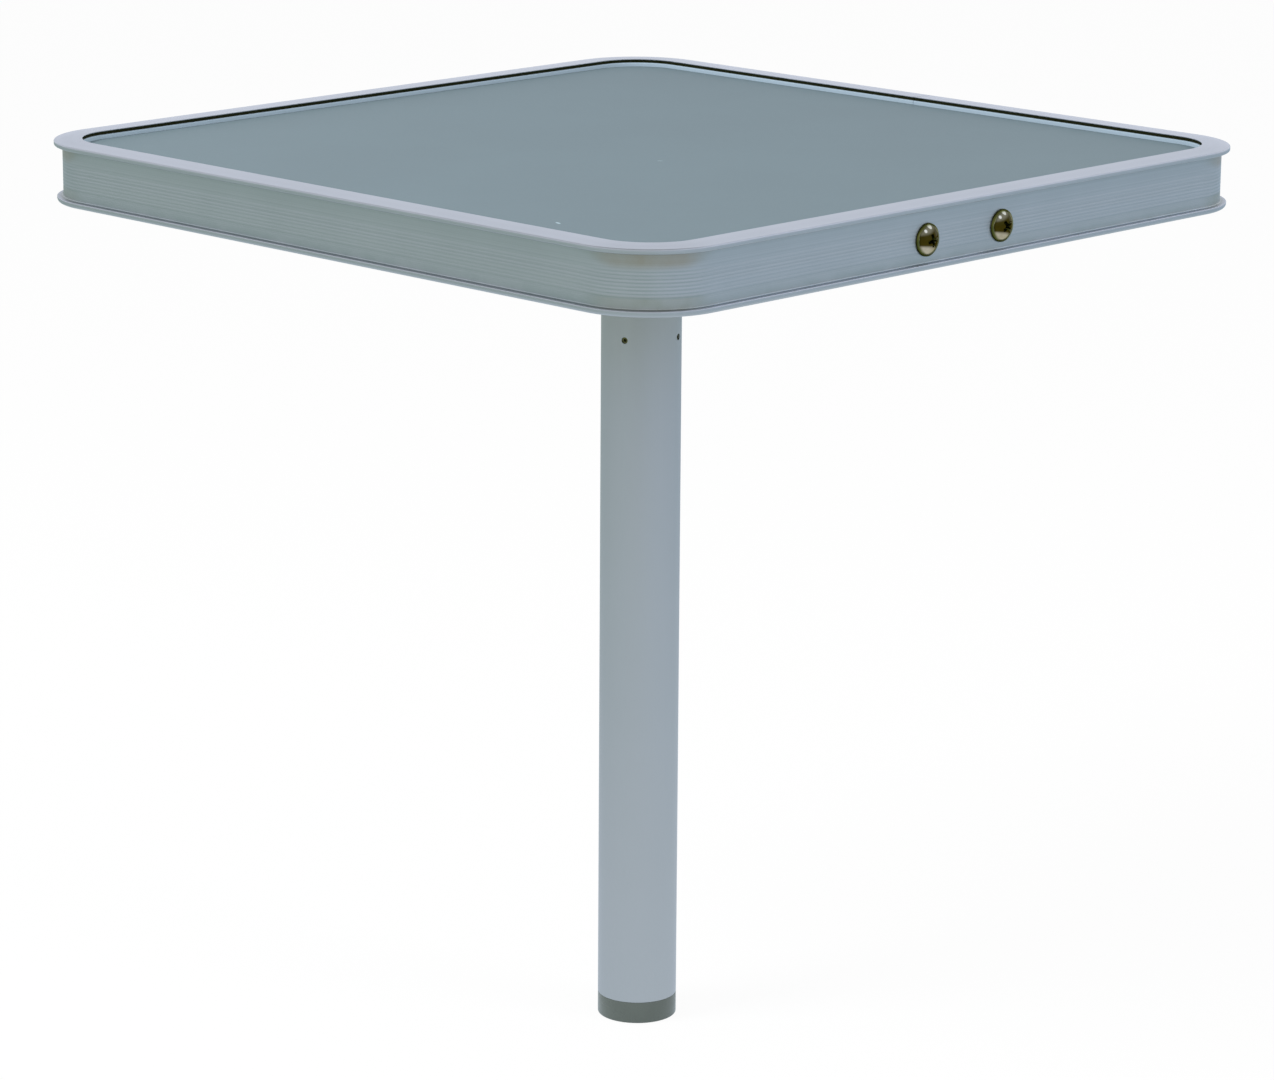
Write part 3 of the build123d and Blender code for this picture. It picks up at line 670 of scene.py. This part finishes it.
# plain finishes: grain and patches vary the colour, and edges are worn paler
plainFinish = {"grain": 0.5, "patch": 40.0, "contrast": 0.2, "wear": 0.5, "wornShare": 1.4, "wornRadius": 0.5,
               "roughSpread": 0.05, "bump": 0.1, "metal": 0.0, "specular": 0.5}


def simpleFinish(name, own):
    settings = {**plainFinish, **own}
    material, tree, shader = newFinish(name)
    grain = place(tree, grainGroup, size=settings["grain"], patch=settings["patch"])
    wear = place(tree, wearGroup, radius=settings["wornRadius"], breaks=3.0)
    tone = maths(tree, "ADD", ramp(tree, grain["Grain"], 0.2, 0.8, 0.0, 0.5),
                 ramp(tree, grain["Patches"], 0.3, 0.7, 0.0, 0.5))
    dark = [c * (1 - settings["contrast"]) for c in settings["colour"]]
    worn = [min(1.0, c * settings["wornShare"]) for c in settings["colour"]]
    colour = mixColour(tree, tone, rgb(dark), rgb(settings["colour"]))
    colour = mixColour(tree, maths(tree, "MULTIPLY", wear["Wear"], settings["wear"]), colour, rgb(worn))
    tree.links.new(colour, shader.inputs["Base Color"])
    rough = ramp(tree, grain["Patches"], 0.3, 0.7, settings["roughness"] - settings["roughSpread"],
                 settings["roughness"] + settings["roughSpread"])
    tree.links.new(rough, shader.inputs["Roughness"])
    bump = put(tree, "Bump", {"Strength": settings["bump"], "Distance": 0.3 * mm, "Height": grain["Grain"]})
    tree.links.new(bump.outputs[0], shader.inputs["Normal"])
    shader.inputs["Metallic"].default_value = settings["metal"]
    shader.inputs["Specular IOR Level"].default_value = settings["specular"]
    return material


# the panel, with two pale scuffs: (x, y) in millimetres, turn, half length, half width, strength
panelFinish = {"colour": (0.172, 0.230, 0.256), "contrast": 0.08, "roughness": 0.65, "specular": 0.10, "grain": 1.1,
               "patch": 90.0, "roughSpread": 0.01, "bump": 0.06, "wear": 0.0}
scuffs = {"colour": (0.46, 0.60, 0.66), "marks": [((-169.9, -114.9), 22.0, 2.6, 0.9, 0.75),
                                                  ((-21.0, -31.9), -38.0, 1.6, 0.9, 0.35)]}
panelGrey = simpleFinish("panelGrey", panelFinish)
tree = panelGrey.node_tree
socket = tree.nodes["Principled BSDF"].inputs["Base Color"]
colour = socket.links[0].from_socket
spot = onPiece(tree)
for (markX, markY), turn, halfLong, halfWide, strength in scuffs["marks"]:
    middle = (markX * mm, markY * mm, 0)
    local = put(tree, "VectorRotate", {"Vector": spot, "Center": middle, "Angle": radians(turn)},
                rotation_type="Z_AXIS").outputs[0]
    away = vectors(tree, "SUBTRACT", local, middle)
    away = vectors(tree, "MULTIPLY", away, (1 / mm / halfWide, 1 / mm / halfLong, 0.0))
    mark = ramp(tree, measured(tree, "LENGTH", away), 1.1, 0.5)
    colour = mixColour(tree, maths(tree, "MULTIPLY", mark, strength), colour, rgb(scuffs["colour"]))
tree.links.new(colour, socket)

finishes = {
    "fibreBoard": {"colour": (0.20, 0.115, 0.06), "contrast": 0.4, "roughness": 0.8, "grain": 1.2, "bump": 0.3},
    "backingSheet": {"colour": (0.155, 0.165, 0.17), "roughness": 0.55},
    "blackRubber": {"colour": (0.014, 0.017, 0.005), "roughness": 0.8, "specular": 0.08},
    "beadStrip": {"colour": (0.42, 0.535, 0.63), "contrast": 0.06, "roughness": 0.5},
    "millAluminium": {"colour": (0.42, 0.43, 0.44), "roughness": 0.4, "metal": 1.0},
    "blackNylon": {"colour": (0.012, 0.012, 0.013), "roughness": 0.5},
    "foamTape": {"colour": (0.02, 0.02, 0.02), "roughness": 0.9, "grain": 1.0, "bump": 0.4},
    "zincPlated": {"colour": (0.38, 0.40, 0.42), "roughness": 0.35, "metal": 1.0},
    "castGrey": {"colour": (0.22, 0.235, 0.24), "roughness": 0.55, "metal": 1.0, "grain": 1.0, "bump": 0.25},
    "whiteNylon": {"colour": (0.70, 0.70, 0.64), "roughness": 0.4},
    "blackSteel": {"colour": (0.15, 0.15, 0.06), "roughness": 0.5, "metal": 1.0},
    "greyPlastic": {"colour": (0.088, 0.109, 0.092), "roughness": 0.30, "specular": 0.7},
}
madeFinishes = {name: simpleFinish(name, settings) for name, settings in finishes.items()}
madeFinishes.update(anodisedFrame=anodisedFrame, anodisedTube=anodisedTube, panelGrey=panelGrey,
                    brightNickel=brightNickel)
finishNodes = {
    "anodisedFrame": ["edge_frame"], "anodisedTube": ["leg_tube"], "panelGrey": ["panel_laminate"],
    "brightNickel": ["side_screws"], "fibreBoard": ["panel_board"], "backingSheet": ["panel_backing"],
    "blackRubber": ["panel_gasket"], "beadStrip": ["panel_bead"],
    "millAluminium": ["cross_rail_left", "cross_rail_right", "frame_splice", "splice_rivets"],
    "blackNylon": ["rail_inserts", "leg_plug"], "foamTape": ["rail_pads"],
    "zincPlated": ["mount_plate", "nut_bars", "plate_screws", "hub_screws", "hub_bush", "leg_stud", "stud_pin"],
    "castGrey": ["leg_hub"], "whiteNylon": ["thrust_washer"], "blackSteel": ["plug_set_screws"],
    "greyPlastic": ["foot_cap"],
}
for finish, named in finishNodes.items():
    for node in named:
        for piece in replacing.get(node, [nodes[node]]):
            piece.data.materials.clear()
            piece.data.materials.append(madeFinishes[finish])
print("finishes are on")

# floor: white to look at, in the metal's reflections pale blue near the table and greyer far off;
# the mirror-bright screws alone see a pale sheet close by and the dark of the room beyond it
floorFinish = {"half": 20.0, "below": 0.0002, "glow": 0.94, "paint": 0.95,
               "near": (0.89, 0.99, 1.10), "nearEdge": (0.1, 1.5),
               "left": (0.50, 0.63, 0.595), "right": (0.56, 0.71, 0.845), "sideEdge": (-0.4, 1.7),
               "mirrorNear": (0.94, 0.97, 1.06), "mirrorFar": (0.10, 0.088, 0.014), "mirrorEdge": (0.61, 1.00)}
selectOnly()
bpy.ops.mesh.primitive_plane_add(size=2 * floorFinish["half"], location=(0, 0, -floorFinish["below"]))
floor = bpy.context.object
floor.name = "paleFloor"
floorPaint = bpy.data.materials.new("paleFloorPaint")
floorPaint.use_nodes = True
tree = floorPaint.node_tree
tree.nodes.clear()
path = put(tree, "LightPath").outputs
spot = onPiece(tree)
x, y, z = put(tree, "SeparateXYZ", {0: spot}).outputs
sideways = ramp(tree, maths(tree, "SUBTRACT", x, y), *floorFinish["sideEdge"])
distance = measured(tree, "LENGTH", spot)
farColour = mixColour(tree, sideways, rgb(floorFinish["left"]), rgb(floorFinish["right"]))
inMetal = mixColour(tree, ramp(tree, distance, *floorFinish["nearEdge"]), rgb(floorFinish["near"]), farColour)
inMirror = mixColour(tree, ramp(tree, distance, *floorFinish["mirrorEdge"]), rgb(floorFinish["mirrorNear"]),
                     rgb(floorFinish["mirrorFar"]))
inMetal = mixColour(tree, path["Is Singular Ray"], inMetal, inMirror)
glowColour = mixColour(tree, path["Is Glossy Ray"], rgb((1, 1, 1)), inMetal)
seen = maths(tree, "MAXIMUM", path["Is Camera Ray"], path["Is Transmission Ray"])
share = maths(tree, "MAXIMUM", maths(tree, "MULTIPLY", seen, floorFinish["glow"]), path["Is Glossy Ray"])
matt = put(tree, "BsdfDiffuse", {"Color": rgb([floorFinish["paint"]] * 3)}).outputs[0]
glow = put(tree, "Emission", {"Color": glowColour, "Strength": 1.0}).outputs[0]
paint = put(tree, "MixShader", {0: share, 1: matt, 2: glow}).outputs[0]
# from below, the table is seen through the floor
underside = put(tree, "NewGeometry").outputs["Backfacing"]
sheer = put(tree, "MixShader", {0: underside, 1: paint, 2: put(tree, "BsdfTransparent").outputs[0]}).outputs[0]
tree.links.new(sheer, put(tree, "OutputMaterial").inputs[0])
floorPaint.cycles.emission_sampling = "NONE"
floor.data.materials.append(floorPaint)

# world: even light on matt surfaces, white to look at, a pale room for metal, and for mirrors a darker one;
# panes are (direction, half width in degrees), and headings and widths are in degrees
room = {"ambient": 0.60, "walls": (1.10, 1.13, 1.28), "far": (1.23, 1.27, 1.42), "farHeading": 44.0,
        "farWide": (80.0, 30.0), "ceiling": (0.55, 0.56, 0.61), "ceilingFrom": (0.52, 0.82),
        "mirrorLow": (0.10, 0.092, 0.02), "mirrorSide": (0.26, 0.27, 0.28), "mirrorHigh": (0.42, 0.45, 0.46),
        "mirrorFrom": (0.21, 0.49), "pane": (1.7, 1.9, 2.6), "paneFull": 0.7,
        "panes": [((0.665, -0.359, 0.655), 14.0), ((0.139, -0.786, 0.602), 9.5)]}
world = bpy.data.worlds.new("studioRoom")
bpy.context.scene.world = world
world.use_nodes = True
tree = world.node_tree
tree.nodes.clear()
path = put(tree, "LightPath").outputs
way = put(tree, "TexCoord").outputs["Generated"]
x, y, z = put(tree, "SeparateXYZ", {0: way}).outputs
level = vectors(tree, "NORMALIZE", put(tree, "CombineXYZ", {0: x, 1: y}).outputs[0])
heading = radians(room["farHeading"])
facing = measured(tree, "DOT_PRODUCT", level, (cos(heading), sin(heading), 0))
farPart = ramp(tree, facing, *[cos(radians(wide)) for wide in room["farWide"]])
inMetal = mixColour(tree, farPart, rgb(room["walls"]), rgb(room["far"]))
inMetal = mixColour(tree, ramp(tree, z, *room["ceilingFrom"]), inMetal, rgb(room["ceiling"]))
inMirror = mixColour(tree, farPart, rgb(room["mirrorLow"]), rgb(room["mirrorSide"]))
inMirror = mixColour(tree, ramp(tree, z, *room["mirrorFrom"]), inMirror, rgb(room["mirrorHigh"]))
inMetal = mixColour(tree, path["Is Singular Ray"], inMetal, inMirror)
for middle, wide in room["panes"]:
    facing = measured(tree, "DOT_PRODUCT", way, Vector(middle).normalized())
    pane = ramp(tree, facing, cos(radians(wide)), cos(radians(wide * room["paneFull"])))
    inMetal = mixColour(tree, pane, inMetal, rgb(room["pane"]))
seen = maths(tree, "MAXIMUM", path["Is Camera Ray"], path["Is Transmission Ray"])
light = mixColour(tree, path["Is Glossy Ray"], rgb([room["ambient"]] * 3), inMetal)
light = mixColour(tree, seen, light, rgb((1, 1, 1)))
background = put(tree, "Background", {"Color": light, "Strength": 1.0}).outputs[0]
tree.links.new(background, put(tree, "OutputWorld").inputs[0])
world.cycles.sampling_method = "NONE"

# two soft lamps, one each side of the camera: (place, power)
lamps = {"size": (1.1, 0.8), "aim": (0, 0, 0.4), "lit": [((-1.75, 0.75, 2.0), 43.0), ((0.75, -2.2, 1.8), 21.0)]}
for number, (spot, power) in enumerate(lamps["lit"]):
    data = bpy.data.lights.new("softLamp%d" % number, "AREA")
    data.shape = "RECTANGLE"
    data.size, data.size_y = lamps["size"]
    data.energy = power
    lamp = bpy.data.objects.new(data.name, data)
    lamp.location = spot
    lamp.rotation_euler = (Vector(lamps["aim"]) - Vector(spot)).to_track_quat("-Z", "Y").to_euler()
    lamp.visible_glossy = False
    bpy.context.collection.objects.link(lamp)
print("floor, room and lamps are set")

# camera at the photograph's place, with its angles in degrees
view = {"place": (-1.5278, -1.4920, 0.7879), "heading": -45.6403, "tilt": 75.6847, "roll": 0.3869,
        "lens": 127.664, "sensor": 36.0}
cameraData = bpy.data.cameras.new("photoCamera")
cameraData.sensor_width = view["sensor"]
cameraData.sensor_fit = "HORIZONTAL"
cameraData.lens = view["lens"]
camera = bpy.data.objects.new("photoCamera", cameraData)
camera.location = view["place"]
camera.rotation_euler = (spun(view["heading"], "Z") @ spun(view["tilt"], "X") @ spun(view["roll"], "Z")).to_euler()
bpy.context.collection.objects.link(camera)
bpy.context.scene.camera = camera
bpy.context.scene.view_settings.view_transform = "Standard"
